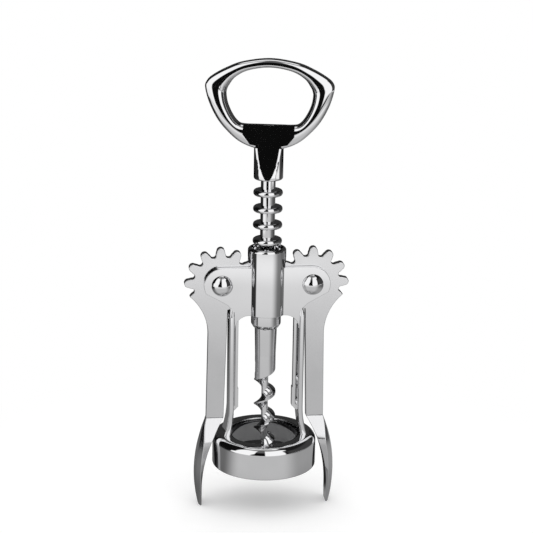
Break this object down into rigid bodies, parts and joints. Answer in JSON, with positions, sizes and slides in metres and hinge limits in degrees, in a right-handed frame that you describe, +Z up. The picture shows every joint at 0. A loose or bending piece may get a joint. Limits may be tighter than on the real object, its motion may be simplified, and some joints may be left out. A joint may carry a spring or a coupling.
{
  "type": "wing corkscrew",
  "caption": "Double-lever wing corkscrew: gear-ended levers mesh with a ring rack, a handle loop that opens bottles, a helical worm and a bell frame.",
  "frame": {"origin": "midway between the two lever tips, on the surface that they stand on, on the screw's axis", "axes": "+Z up along the screw's axis towards the handle, +X towards the right lever, -Y the front"},
  "size_m": [0.0658, 0.0422, 0.1838],
  "materials": {
    "cast_chrome": "bright chrome plate on a zinc casting",
    "lever_chrome": "chrome plate on a flat lever, slightly satin",
    "plated_steel": "bright chrome plate on turned steel",
    "worm_steel": "chrome plate on steel, finely drawn",
    "liner_plastic": "dark grey moulded plastic, satin"
  },
  "bodies": {
    "frame": {"frame": "cast_chrome", "bell_liner": "liner_plastic", "left_rivet": "plated_steel", "right_rivet": "plated_steel"},
    "rack": {"rack_spindle": "plated_steel"},
    "screw": {"handle": "cast_chrome", "worm": "worm_steel"},
    "left_lever": {"left_lever": "lever_chrome"},
    "right_lever": {"right_lever": "lever_chrome"}
  },
  "joints": [
    {"name": "rack_slide", "type": "slide", "parent": "frame", "child": "rack", "axis": [0, 0, 1], "range_m": [-0.027, 0]},
    {"name": "screw_turn", "type": "hinge", "parent": "rack", "child": "screw", "pos_m": [0, 0, 0.1088], "axis": [0, 0, 1], "continuous": true},
    {"name": "left_lever_hinge", "type": "hinge", "parent": "frame", "child": "left_lever", "pos_m": [-0.01813, 0, 0.094], "axis": [0, 1, 0], "range_deg": [0, 119.6]},
    {"name": "right_lever_hinge", "type": "hinge", "parent": "frame", "child": "right_lever", "pos_m": [0.01813, 0, 0.094], "axis": [0, -1, 0], "range_deg": [0, 119.6]}
  ],
  "couplings": [
    {"joint": "left_lever_hinge", "follows": "rack_slide", "rad_per_m": -77.274},
    {"joint": "right_lever_hinge", "follows": "rack_slide", "rad_per_m": -77.274}
  ]
}
